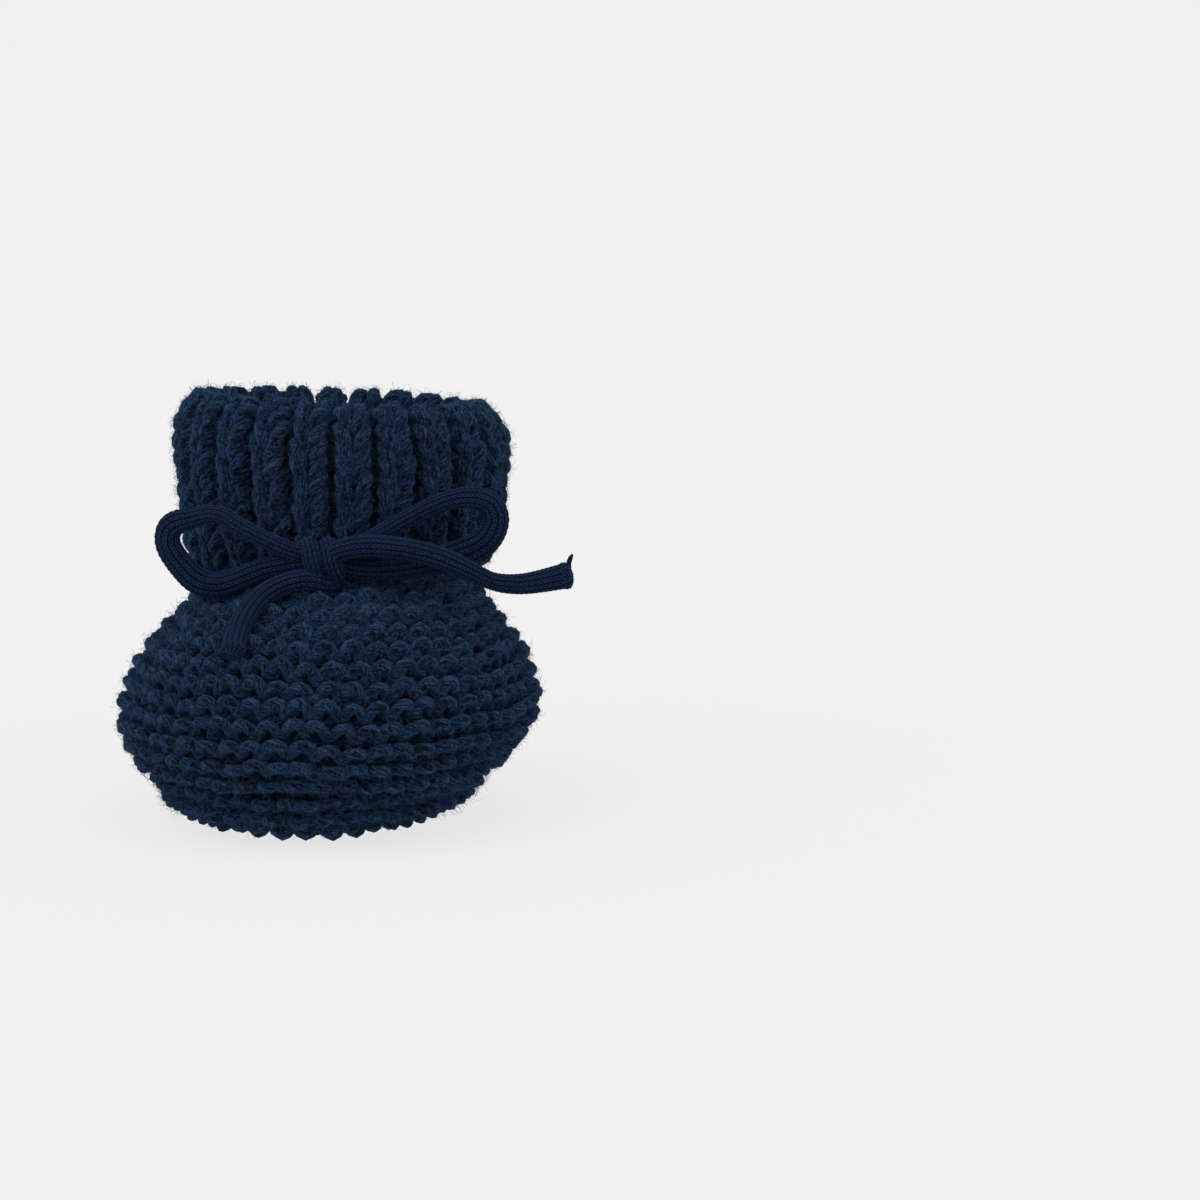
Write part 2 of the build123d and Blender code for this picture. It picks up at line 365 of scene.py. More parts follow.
def plied_wool(name, colour, tint, turns=120.0):
    """Softly twisted woollen yarn: two plies, fibres laid along them, a shade that drifts, painted
    fibre glints and painted shade where the yarn lies deep.
    """
    shader = Shader(name)
    run = shader.attribute("run")
    around_cos = shader.attribute("around_cos")
    around_sin = shader.attribute("around_sin")
    where = shader.place()
    angle = run * (turns * FULL_TURN)
    sine, cosine = angle.sine(), angle.cosine()
    level = around_cos * cosine + around_sin * sine
    upright = around_sin * cosine - around_cos * sine
    ply = (level * level - upright * upright) * 0.5 + 0.5
    laid = {0: level * 3.1, 1: upright * 3.1, 2: run * 480.0}
    laid = shader.node("ShaderNodeCombineXYZ", {}, laid)
    fibre = shader.noise(laid, 1.0, 3.0, 0.75)
    speck = shader.noise(where, 1900.0, 2.0, 0.7)
    clump = shader.noise(where, 380.0, 2.0)
    patch = shader.noise(where, 40.0, 1.0)
    # Fibre strokes lighter and darker at random; the lightest strokes are painted fibre glints.
    shade = (fibre - 0.5) * 3.8 + (speck - 0.5) * 2.2 + (clump - 0.5) * 0.6 + ply * 0.15 + 0.32
    shade = shade.clamp()
    base = shader.mix(shade * shade, times(colour, 0.05), times(colour, 6.6))
    base = shader.mix(patch * 0.15, base, times(colour, 0.8))
    # Painted shade: yarn that lies deep between the stitches is darkened in its colour.
    base = shader.mix(shader.attribute("recess_shade") * 0.95, base, times(colour, 0.06))
    shader.bump(ply * 0.35 + fibre * 1.4 + speck * 0.5 + clump * 0.5, 0.5 * MM, 1.0)
    return shader.finish(base, 0.88 + fibre * 0.1, 0.48, tint)


def lining_painted_shade(name, colour, tint):
    """The fabric behind the stitches, deep in shade: its colour is darkened as painted shade."""
    shader = Shader(name)
    where = shader.place()
    fibre = shader.noise(where, 1500.0, 3.0)
    clump = shader.noise(where, 260.0, 2.0)
    # Painted shade: 0.3 to 0.8 of the wool's own navy.
    base = shader.mix(clump, times(colour, 0.3), times(colour, 0.8))
    shader.bump(fibre + clump, 0.4 * MM, 0.8)
    return shader.finish(base, 0.9, 0.15, tint)


def nap_wool_painted_sheen(name, colour, tint):
    """Loose fibres, coloured two to eight times lighter than the wool as painted sheen for the
    light they catch.
    """
    shader = Shader(name)
    patch = shader.noise(shader.place(), 900.0, 1.0)
    # Painted sheen: the fibres' colour is raised far above the wool's own navy.
    base = shader.mix(patch, times(colour, 2.0), times(colour, 8.0))
    return shader.finish(base, 0.75, 0.4, tint)


def fine_knit(name, colour, tint):
    """Fine tubular knitting of the drawstring, with painted shade down between its stitches and
    lighter crowns.
    """
    shader = Shader(name)
    where = shader.place()
    raised = shader.attribute("raised")
    fibre = shader.noise(where, 3800.0, 3.0, 0.65)
    patch = shader.noise(where, 160.0, 1.0)
    # Painted shade and light: the cord darkens where its knitting dips and lightens where it stands
    # up.
    shade = (raised * 1.05 + (fibre - 0.5) * 1.3 - 0.05).clamp()
    base = shader.mix(shade * shade, times(colour, 0.05), times(colour, 3.0))
    base = shader.mix(patch * 0.3, base, colour)
    shader.bump(raised * 0.8 + fibre * 0.6, 0.2 * MM, 0.9)
    return shader.finish(base, 0.84 + fibre * 0.12, 0.25, tint)


def pale_floor(name, colour):
    """Seamless paper."""
    shader = Shader(name)
    grain = shader.noise(shader.place(), 30.0, 1.0)
    base = shader.mix(grain, times(colour, 0.995), colour)
    shader.put(shader.surface, "Base Color", base)
    shader.put(shader.surface, "Roughness", 0.9 + grain * 0.05)
    shader.surface.inputs["Specular IOR Level"].default_value = 0.0
    shader.surface.inputs["Emission Color"].default_value = (*times(colour, FLOOR_GLOW), 1.0)
    shader.surface.inputs["Emission Strength"].default_value = 1.0
    return shader.material


# ---------------------------------------------------------------- fabric surfaces


def running(steps):
    """How far each point lies from the first, by the steps between them."""
    return np.concatenate([[0.0], np.cumsum(steps)])


class Skin:
    """A smooth surface through a stack of egg-shaped outlines, in metres."""

    def __init__(self, rings):
        self.rings = np.array(rings, float) * MM
        sides = self.rings[:, [0, 1]]
        steps = np.linalg.norm(np.diff(sides, axis=0), axis=1)
        self.knots = running(steps)
        self.length = float(self.knots[-1])
        self.slopes = np.gradient(self.rings, self.knots, axis=0)

    def outline(self, along):
        """Height, half width, front, widest line, back and sideways, at a distance up the side."""
        along = np.clip(along, 0.0, self.length)
        index = np.clip(np.searchsorted(self.knots, along) - 1, 0, len(self.knots) - 2)
        start = self.knots[index]
        width = self.knots[index + 1] - start
        share = ((along - start) / width)[..., None]
        width = width[..., None]
        before, after = self.rings[index], self.rings[index + 1]
        leave, reach = self.slopes[index] * width, self.slopes[index + 1] * width
        square, cube = share**2, share**3
        return (
            before * (2 * cube - 3 * square + 1)
            + leave * (cube - 2 * square + share)
            + after * (3 * square - 2 * cube)
            + reach * (cube - square)
        )

    def point(self, angle, along):
        """Points at an angle round the foot, 0 at +X, and a distance up the side."""
        height, half, front, widest, back, aside = np.moveaxis(self.outline(along), -1, 0)
        sine = np.sin(angle)
        depth = np.where(sine < 0, widest - front, back - widest)
        across = half * np.cos(angle)
        lean = RIM_LEAN * across * np.clip((height - RIM_FROM) / (RIM_TO - RIM_FROM), 0, 1)
        return np.stack([aside + across, widest + depth * sine, height - lean], axis=-1)

    def place(self, angle, along, out):
        """Points standing off the surface."""
        step = 1e-5
        base = self.point(angle, along)
        low = np.clip(along - step, 0, self.length)
        high = np.clip(along + step, 0, self.length)
        round_way = self.point(angle + 1e-4, along) - self.point(angle - 1e-4, along)
        up_way = self.point(angle, high) - self.point(angle, low)
        normal = np.cross(round_way, up_way)
        normal /= np.linalg.norm(normal, axis=-1, keepdims=True) + 1e-12
        return base + normal * np.asarray(out)[..., None]

    def girth(self, along):
        """Angles and lengths round the outline at a distance up the side."""
        angles = np.linspace(0, FULL_TURN, 721)
        points = self.point(angles, np.full(angles.shape, along))
        steps = np.linalg.norm(np.diff(points, axis=0), axis=1)
        return angles, running(steps)

    def spread(self, step, front_share):
        """Distances up the side, a step of height apart, closer where the front slopes back."""
        along = np.linspace(0, self.length, 1200)
        outline = self.outline(along)
        rise = np.abs(np.diff(outline[:, 0])) + front_share * np.abs(np.diff(outline[:, 2]))
        measure = running(rise)
        return np.interp(np.arange(step / 2, measure[-1], step), measure, along)

    def gap(self, angle, along, pitch):
        """How far apart two courses lie at each angle."""
        low, high = self.point(angle, along - pitch / 2), self.point(angle, along + pitch / 2)
        return np.linalg.norm(high - low, axis=-1)


def smooth_jitter(rng, count, samples, size):
    """One random number for each stitch, blended smoothly along the course."""
    values = rng.normal(0.0, size, count)
    where = np.arange(count * samples) / samples
    first = np.floor(where).astype(int) % count
    share = where - np.floor(where)
    share = share * share * (3 - 2 * share)
    return values[first] * (1 - share) + values[(first + 1) % count] * share


def welt(angle, height):
    """How far the fabric is drawn in at the join of sole and upper, which climbs on the +X side."""
    line = 11.2 * MM + 4.5 * MM * np.clip(np.cos(angle + 0.5), 0, 1) ** 2
    return 0.6 * MM * np.exp(-(((height - line) / (1.5 * MM)) ** 2))


def sway(angle, along):
    """How far the courses wander up and down together round the foot."""
    slow = 0.45 * MM * np.sin(3 * angle + 0.6)
    return slow + 0.32 * MM * np.sin(7 * angle + along / (9 * MM)) + 0.22 * MM * np.sin(
        13 * angle - along / (5 * MM))


def garter_course(skin, along, pitch, stitches, raised, phase, rng, samples=11):
    """One course of garter stitch: a ridge of purl bumps, or the furrow between two ridges."""
    turn = np.arange(stitches * samples) / samples * FULL_TURN
    angles, lengths = skin.girth(along)
    girth = lengths[-1]
    travel = turn + 0.42 * np.sin(turn) + 0.20 * np.sin(2 * turn)
    travel = travel / FULL_TURN + phase + smooth_jitter(rng, stitches, samples, 0.075)
    angle = np.interp((travel * girth / stitches) % girth, lengths, angles)
    lift = smooth_jitter(rng, stitches, samples, 0.17 * MM)
    swing = 1 + smooth_jitter(rng, stitches, samples, 0.10)
    drift = smooth_jitter(rng, stitches, samples, 0.20 * MM)
    reach = 0.46 if raised else 0.42
    height = along + reach * pitch * np.cos(turn) * swing + drift
    bow = 0.78 * MM * np.cos(turn) + 0.36 * MM * np.cos(2 * turn)
    out = bow + 0.30 * MM if raised else -bow - 1.5 * MM
    level = skin.point(angle, np.full(angle.shape, along))[:, 2]
    height = height + sway(angle, along) * np.clip(min(along, skin.length - along) / (9 * MM), 0, 1)
    points = skin.place(angle, height, out + lift - welt(angle, level))
    wide = np.clip(skin.gap(angle, along, pitch) / (1.88 * MM), 0.75, 1.9) ** 0.6
    thick = wide * (1 + smooth_jitter(rng, stitches, samples, 0.08)) * (1.0 if raised else 0.85)
    # The last value is how deep the yarn lies, which the wool turns into painted shade.
    return points, thick, np.clip(0.2 - out / (1.4 * MM), 0, 1)


def garter_courses(skin, steps, pitches, width, rng):
    """Every course up a skin, furrows and ridges in turn."""
    courses = []
    for number, (along, pitch) in enumerate(zip(steps, pitches)):
        stitches = max(4, int(round(skin.girth(along)[1][-1] / width)))
        phase = 0.5 * (number // 2 % 2)
        courses.append(garter_course(skin, along, pitch, stitches, number % 2 == 1, phase, rng))
    return courses


# One stitch of a rib: across in rib widths, up in stitch heights, out in millimetres
RIB_STITCH = np.array([
    (-0.50, -0.50, -2.9), (-0.32, -0.66, -2.1), (-0.150, -0.52, -0.5), (-0.125, -0.05, 1.00),
    (-0.200, 0.42, 1.00), (-0.290, 0.84, 0.10), (-0.21, 1.14, -0.9), (0.00, 1.25, -1.1),
    (0.21, 1.14, -0.9), (0.290, 0.84, 0.10), (0.200, 0.42, 1.00), (0.125, -0.05, 1.00),
    (0.150, -0.52, -0.5), (0.32, -0.66, -2.1),
])


def rib_course(skin, along, ribs, stitch, rng, samples=22):
    """One course of rib: a V of two slanting legs on each rib, dipping into the valleys between."""
    control = len(RIB_STITCH)
    where = np.arange(samples) / samples * control
    index = np.floor(where).astype(int)
    share = (where - index)[:, None]
    shifted = []
    for step in (-1, 0, 1, 2):
        ribs_on, corner = np.divmod(index + step, control)
        shifted.append(RIB_STITCH[corner] + np.array([1.0, 0, 0]) * ribs_on[:, None])
    one = 0.5 * (
        2 * shifted[1]
        + (shifted[2] - shifted[0]) * share
        + (2 * shifted[0] - 5 * shifted[1] + 4 * shifted[2] - shifted[3]) * share**2
        + (3 * shifted[1] - shifted[0] - 3 * shifted[2] + shifted[3]) * share**3
    )
    angles, lengths = skin.girth(along)
    girth = lengths[-1]
    number = np.repeat(np.arange(ribs), samples)
    sideways = np.tile(one[:, 0], ribs) + number
    upward = np.tile(one[:, 1], ribs)
    outward = np.tile(one[:, 2], ribs)
    slip = smooth_jitter(rng, ribs, samples, 0.05)
    travel = ((sideways + 1.0 + slip) / ribs * girth) % girth
    angle = np.interp(travel, lengths, angles)
    drift = smooth_jitter(rng, ribs, samples, 0.24 * MM)
    lift = smooth_jitter(rng, ribs, samples, 0.20 * MM)
    height = along + upward * stitch + drift
    squeeze = np.clip(girth / ribs / (7.6 * MM), 0.6, 1.1)
    points = skin.place(angle, height, outward * MM * squeeze + lift)
    thick = 1 + smooth_jitter(rng, ribs, samples, 0.05)
    # The last value is how deep the yarn lies, which the wool turns into painted shade.
    return points, thick, np.clip(0.2 - outward / 2.2, 0, 1)


def guide_mesh(name, courses, closed=True):
    """A wire mesh of courses, with the yarn's thickness and how deep it lies on its points; that
    depth sets the painted shade in the recesses.
    """
    edges = []
    start = 0
    for points, _, _ in courses:
        ring = np.arange(len(points) if closed else len(points) - 1)
        edges.append(np.stack([ring + start, (ring + 1) % len(points) + start], axis=1))
        start += len(points)
    points, thick, recess_shade = (np.concatenate(column) for column in zip(*courses))
    mesh = bpy.data.meshes.new(name)
    mesh.from_pydata(points.tolist(), np.concatenate(edges).tolist(), [])
    for label, values in (("thick", thick), ("recess_shade", recess_shade)):
        stored = mesh.attributes.new(label, "FLOAT", "POINT")
        stored.data.foreach_set("value", values.astype(np.float32))
    return mesh


def even_thread(points):
    """An open thread of even thickness for guide_mesh."""
    # The even depth gives the thread a little painted shade.
    return points, np.ones(len(points)), np.full(len(points), 0.15)


# ---------------------------------------------------------------- node trees


class Tree:
    """A Geometry Nodes tree with named inputs."""

    def __init__(self, name, inputs):
        self.group = bpy.data.node_groups.new(name, "GeometryNodeTree")
        sockets = self.group.interface
        sockets.new_socket("Geometry", in_out="INPUT", socket_type="NodeSocketGeometry")
        self.names = {}
        for label, kind, value in inputs:
            socket = sockets.new_socket(label, in_out="INPUT", socket_type=kind)
            if value is not None:
                socket.default_value = value
            self.names[label] = socket.identifier
        sockets.new_socket("Geometry", in_out="OUTPUT", socket_type="NodeSocketGeometry")
        self.entry = self.group.nodes.new("NodeGroupInput")
        self.exit = self.group.nodes.new("NodeGroupOutput")

    def input(self, label):
        return self.entry.outputs[label]

    def add(self, kind, settings=None, **values):
        """A node; its sockets are given by name, with spaces as underscores."""
        made = self.group.nodes.new(kind)
        for key, value in (settings or {}).items():
            setattr(made, key, value)
        for key, value in values.items():
            self.join(made, key.replace("_", " "), value)
        return made

    def sum(self, operation, *terms, kind="ShaderNodeMath"):
        """One step of arithmetic on numbers, or on vectors."""
        made = self.add(kind, {"operation": operation})
        for index, term in enumerate(terms):
            self.join(made, index, term)
        number = kind == "ShaderNodeMath" or operation == "DOT_PRODUCT"
        return made.outputs["Value" if number else "Vector"]

    def random(self, kind, low, high, seed):
        """Random numbers, or vectors, between low and high."""
        made = self.add("FunctionNodeRandomValue", {"data_type": kind}, Seed=seed)
        first = 0 if kind == "FLOAT_VECTOR" else 2
        self.join(made, first, low)
        self.join(made, first + 1, high)
        return made.outputs[first // 2]

    def store(self, geometry, name, value):
        """The geometry, with a number stored on its points."""
        settings = {"data_type": "FLOAT", "domain": "POINT"}
        made = self.add("GeometryNodeStoreNamedAttribute", settings, Geometry=geometry,
                        Name=name, Value=value)
        return made.outputs[0]

    def join(self, node, key, value):
        target = node.inputs[key]
        if isinstance(value, bpy.types.NodeSocket):
            self.group.links.new(value, target)
        else:
            target.default_value = value

    def end(self, geometry):
        self.group.links.new(geometry, self.exit.inputs["Geometry"])


def sweep_tree():
    """Sweeps a round yarn along every course, and stores how far along and round each point is."""
    tree = Tree("Yarn along courses", [
        ("Radius", "NodeSocketFloat", 1.1 * MM),
        ("Sides", "NodeSocketInt", 7),
        ("Material", "NodeSocketMaterial", None),
    ])
    curve = tree.add("GeometryNodeMeshToCurve", Mesh=tree.input("Geometry"))
    spot = tree.add("GeometryNodeSplineParameter")
    along = tree.store(curve.outputs[0], "run", spot.outputs["Length"])
    ring = tree.add("GeometryNodeCurvePrimitiveCircle", Resolution=tree.input("Sides"),
                    Radius=tree.input("Radius"))
    part = tree.add("GeometryNodeSplineParameter")
    full = tree.sum("MULTIPLY", part.outputs["Factor"], FULL_TURN)
    profile = ring.outputs["Curve"]
    for name, operation in (("around_cos", "COSINE"), ("around_sin", "SINE")):
        profile = tree.store(profile, name, tree.sum(operation, full))
    size = tree.add("GeometryNodeInputNamedAttribute", {"data_type": "FLOAT"}, Name="thick")
    yarn = tree.add("GeometryNodeCurveToMesh", Curve=along, Profile_Curve=profile,
                    Scale=size.outputs["Attribute"])
    real = tree.add("GeometryNodeRealizeInstances", Geometry=yarn.outputs[0])
    soft = tree.add("GeometryNodeSetShadeSmooth", Geometry=real.outputs[0])
    done = tree.add("GeometryNodeSetMaterial", Geometry=soft.outputs[0],
                    Material=tree.input("Material"))
    tree.end(done.outputs[0])
    return tree


def nap_tree():
    """Scatters fine bent fibres over a piece."""
    tree = Tree("Loose fibres", [
        ("Density", "NodeSocketFloat", 400000.0),
        ("Length", "NodeSocketFloat", 2.0 * MM),
        ("Breadth", "NodeSocketFloat", 0.05 * MM),
        ("Lean", "NodeSocketFloat", 0.9),
        ("Outward", "NodeSocketFloat", 1.0),
        ("Seed", "NodeSocketInt", 3),
        ("Material", "NodeSocketMaterial", None),
    ])
    vector = "ShaderNodeVectorMath"
    spot = tree.add("GeometryNodeInputPosition")
    away = tree.sum("NORMALIZE", tree.sum("SUBTRACT", spot.outputs[0], NAP_MIDDLE, kind=vector),
                    kind=vector)
    upright = tree.add("GeometryNodeInputNormal")
    facing = tree.sum("DOT_PRODUCT", away, upright.outputs[0], kind=vector)
    facing = tree.sum("MULTIPLY", facing, tree.input("Outward"))
    outer = tree.sum("GREATER_THAN", facing, NAP_FACING)
    parts = tree.add("ShaderNodeSeparateXYZ")
    tree.join(parts, 0, spot.outputs[0])
    above = tree.sum("GREATER_THAN", parts.outputs["Z"], NAP_LOWEST)
    sown = tree.sum("MULTIPLY", tree.sum("MULTIPLY", outer, above), tree.input("Density"))
    points = tree.add("GeometryNodeDistributePointsOnFaces", {"distribute_method": "RANDOM"},
                      Mesh=tree.input("Geometry"), Density=sown, Seed=tree.input("Seed"))
    arc = tree.add("GeometryNodeCurveQuadraticBezier", Resolution=3, Start=(0, 0, 0),
                   Middle=(0.05, 0, 0.80), End=(0.95, 0.25, 0.35))
    thin = tree.sum("DIVIDE", tree.input("Breadth"), tree.input("Length"))
    breadth = tree.add("ShaderNodeCombineXYZ", X=thin)
    across = tree.add("GeometryNodeCurvePrimitiveLine", End=breadth.outputs[0])
    fibre = tree.add("GeometryNodeCurveToMesh", Curve=arc.outputs[0],
                     Profile_Curve=across.outputs[0])
    spin = tree.random("FLOAT_VECTOR", (-1.0, -1.0, -1.0), (1.0, 1.0, 1.0), tree.input("Seed"))
    lean = tree.add(vector, {"operation": "SCALE"}, Scale=tree.input("Lean"))
    tree.join(lean, 0, spin)
    way = tree.sum("ADD", points.outputs["Normal"], lean.outputs[0], kind=vector)
    aimed = tree.add("FunctionNodeAlignRotationToVector", {"axis": "Z"}, Vector=way)
    whirl = tree.random("FLOAT", 0.0, FULL_TURN, 7)
    roll = tree.add("FunctionNodeAxisAngleToRotation", Axis=(0, 0, 1), Angle=whirl)
    turned = tree.add("FunctionNodeRotateRotation", {"rotation_space": "LOCAL"},
                      Rotation=aimed.outputs[0], Rotate_By=roll.outputs[0])
    long = tree.sum("MULTIPLY", tree.random("FLOAT", *NAP_SIZES, 11), tree.input("Length"))
    placed = tree.add("GeometryNodeInstanceOnPoints", Points=points.outputs[0],
                      Instance=fibre.outputs[0], Rotation=turned.outputs[0], Scale=long)
    real = tree.add("GeometryNodeRealizeInstances", Geometry=placed.outputs[0])
    done = tree.add("GeometryNodeSetMaterial", Geometry=real.outputs[0],
                    Material=tree.input("Material"))
    tree.end(done.outputs[0])
    return tree


def grown(name, mesh, tree, values, material):
    """Runs a tree over a mesh and returns the plain result as a new piece."""
    holder = bpy.data.objects.new(name + "_guide", mesh)
    bpy.context.scene.collection.objects.link(holder)
    modifier = holder.modifiers.new("Tree", "NODES")
    modifier.node_group = tree.group
    for label, value in values.items():
        modifier[tree.names[label]] = value
    modifier[tree.names["Material"]] = material
    bpy.context.view_layer.update()
    depsgraph = bpy.context.evaluated_depsgraph_get()
    made = bpy.data.meshes.new_from_object(holder.evaluated_get(depsgraph))
    bpy.data.objects.remove(holder)
    if not len(made.polygons):
        raise RuntimeError(f"{name} came out empty")
    made.name = name
    if not made.materials:
        made.materials.append(material)
    return piece(name, made)


def piece(name, mesh):
    """A new object at the origin that holds this mesh."""
    made = bpy.data.objects.new(name, mesh)
    bpy.context.scene.collection.objects.link(made)
    return made


def settle(made, body, nodes=()):
    """Rides the piece on its body and hides the CAD nodes it stands for."""
    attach(made, body)
    if nodes:
        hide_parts(*nodes)
    return made


# ---------------------------------------------------------------- cords


def route_line(points):
    """Evenly fine points along the smooth line that a cord's route controls."""
    data = bpy.data.curves.new("route", "CURVE")
    data.dimensions = "3D"
    data.resolution_u = 24
    spline = data.splines.new("NURBS")
    spline.points.add(len(points) - 1)
    for target, point in zip(spline.points, points):
        target.co = (*point, 1.0)
    spline.order_u = 3
    spline.use_endpoint_u = True
    holder = bpy.data.objects.new("route", data)
    bpy.context.scene.collection.objects.link(holder)
    bpy.context.view_layer.update()
    depsgraph = bpy.context.evaluated_depsgraph_get()
    mesh = bpy.data.meshes.new_from_object(holder.evaluated_get(depsgraph))
    line = np.array([vertex.co[:] for vertex in mesh.vertices])
    bpy.data.meshes.remove(mesh)
    bpy.data.objects.remove(holder)
    return line


def even_steps(line, step, closed=False):
    """The same line with points at an even spacing, and its length."""
    if closed:
        line = np.concatenate([line, line[:1]])
    reach = running(np.linalg.norm(np.diff(line, axis=0), axis=1))
    count = max(2, int(round(reach[-1] / step)))
    where = np.linspace(0, reach[-1], count + 1)
    if closed:
        where = where[:-1]
    return np.stack([np.interp(where, reach, line[:, i]) for i in range(3)], axis=1), reach[-1]


def knit_relief(along, around, wales, pitch):
    """Height from 0 to 1 of tubular stocking stitch: small Vs in lengthwise columns."""
    across = around / FULL_TURN * wales
    side = across - np.floor(across) - 0.5
    leg = np.abs(side)
    phase = along / pitch - leg * 2.4
    wave = 0.5 + 0.5 * np.cos(FULL_TURN * phase)
    crown = np.where(leg < 0.2, 0.62 + 1.9 * leg, (0.5 - leg) / 0.3)
    return np.clip(crown, 0, 1) ** 0.8 * (0.32 + 0.68 * wave)


def tube_mesh(name, vertices, rows, sides, closed=False):
    """A tube through rows of points; an open one's ends close on the last two vertices."""
    row = np.arange(rows if closed else rows - 1)[:, None] * sides
    above = (row + sides) % (rows * sides)
    here = np.arange(sides)
    after = (here + 1) % sides
    faces = np.stack([row + here, row + after, above + after, above + here], axis=-1)
    faces = faces.reshape(-1, 4).tolist()
    if not closed:
        low, high, last = rows * sides, rows * sides + 1, (rows - 1) * sides
        for i, j in zip(here.tolist(), after.tolist()):
            faces += [[low, j, i], [high, last + i, last + j]]
    mesh = bpy.data.meshes.new(name)
    mesh.from_pydata(vertices.tolist(), [], faces)
    mesh.shade_smooth()
    return mesh


def cord_mesh(name, line, radius, closed=False, wales=12, pitch=0.85 * MM, relief=0.30 * MM,
              profile=None, sides=96, step=0.16 * MM, broad=None):
    """A knitted tube along a line. profile and broad give radius factors along it, from 0 to 1."""
    line, length = even_steps(line, step, closed)
    count = len(line)
    if closed:
        tangent = np.roll(line, -1, axis=0) - np.roll(line, 1, axis=0)
    else:
        tangent = np.gradient(line, axis=0)
    tangent /= np.linalg.norm(tangent, axis=1, keepdims=True)
    frames = np.empty((count, 3))
    side = np.cross(tangent[0], (0.0, 1.0, 0.0))
    if np.linalg.norm(side) < 0.1:
        side = np.cross(tangent[0], (1.0, 0.0, 0.0))
    side /= np.linalg.norm(side)
    for i in range(count):
        side = side - tangent[i] * np.dot(side, tangent[i])
        side /= np.linalg.norm(side)
        frames[i] = side
    other = np.cross(tangent, frames)
    share = np.linspace(0, 1, count)
    thick = np.ones(count) if profile is None else np.interp(share, *zip(*profile))
    spread = np.ones(count) if broad is None else np.interp(share, *zip(*broad))
    around = np.arange(sides) / sides * FULL_TURN
    along = np.linspace(0, length, count)
    grid_along, grid_around = np.meshgrid(along, around, indexing="ij")
    raised = knit_relief(grid_along, grid_around, wales, pitch)
    size = radius * thick[:, None] - relief + relief * raised
    across = size * np.cos(grid_around) * spread[:, None]
    through = size * np.sin(grid_around) / np.sqrt(spread[:, None])
    points = line[:, None] + frames[:, None] * across[..., None]
    points = points + other[:, None] * through[..., None]
    vertices = points.reshape(-1, 3)
    heights = raised.reshape(-1)
    if not closed:
        ends = [line[0] - tangent[0] * 0.1 * radius, line[-1] + tangent[-1] * 0.06 * radius]
        vertices = np.concatenate([vertices, ends])
        heights = np.concatenate([heights, [0.5, 0.5]])
    mesh = tube_mesh(name, vertices, count, sides, closed)
    # These heights also set the cord's painted shade between its stitches.
    stored = mesh.attributes.new("raised", "FLOAT", "POINT")
    stored.data.foreach_set("value", heights.astype(np.float32))
    return mesh, length


def shell_mesh(name, rings, around=96, rows=150):
    """A closed shell through a stack of outlines whose first and last are nearly points."""
    skin = Skin(rings)
    along = np.linspace(0, skin.length, rows)
    angle = np.arange(around) / around * FULL_TURN
    grid_along, grid_angle = np.meshgrid(along, angle, indexing="ij")
    points = skin.point(grid_angle, grid_along).reshape(-1, 3)
    first, last = points[:around].mean(axis=0), points[-around:].mean(axis=0)
    vertices = np.concatenate([points, [first, last]])
    return tube_mesh(name, vertices, rows, around)


def knitted(name, mesh, knit, body, nodes=()):
    """A piece of the drawstring."""
    mesh.materials.append(knit)
    return settle(piece(name, mesh), body, nodes)


# ---------------------------------------------------------------- operators


class BootieOperator:
    """What every step of the bootie shares."""

    bl_options = {"REGISTER", "UNDO"}

    def settings(self, context):
        return context.scene.bootie_yarn, context.scene.bootie_colours


class BOOTIE_OT_stage(BootieOperator, bpy.types.Operator):
    """Floor, soft light and camera"""

    bl_idname = "bootie.stage"
    bl_label = "Stage"

    def execute(self, context):
        _, colours = self.settings(context)
        half = FLOOR_HALF
        mesh = bpy.data.meshes.new("floor")
        mesh.from_pydata([(-half, -half, 0), (half, -half, 0), (half, half, 0), (-half, half, 0)],
                         [], [(0, 1, 2, 3)])
        mesh.materials.append(pale_floor("pale_paper", colours.floor))
        floor = piece("floor", mesh)
        room = bpy.data.worlds.new("soft_room")
        room.use_nodes = True
        sky = room.node_tree.nodes["Background"]
        sky.inputs["Color"].default_value = (1.0, 1.0, 1.0, 1.0)
        sky.inputs["Strength"].default_value = SKY_STRENGTH
        context.scene.world = room
        for name, source, spread, power in LAMPS:
            lamp = bpy.data.lights.new(name, "SUN")
            lamp.angle = math.radians(spread)
            lamp.energy = power
            holder = bpy.data.objects.new(name, lamp)
            holder.rotation_euler = (-Vector(source)).to_track_quat("-Z", "Y").to_euler()
            context.scene.collection.objects.link(holder)
        camera = bpy.data.cameras.new("camera")
        camera.lens = CAMERA_LENS
        camera.sensor_width = CAMERA_SENSOR
        camera.clip_start = 0.01
        holder = bpy.data.objects.new("camera", camera)
        back, up = math.cos(CAMERA_TILT), math.sin(CAMERA_TILT)
        holder.location = (CAMERA_ASIDE, -CAMERA_DISTANCE * back,
                           CAMERA_HEIGHT + CAMERA_DISTANCE * up)
        holder.rotation_euler = (math.pi / 2 - CAMERA_TILT, 0, 0)
        context.scene.collection.objects.link(holder)
        context.scene.camera = holder
        context.scene.view_settings.view_transform = "Standard"
        return {"FINISHED"}


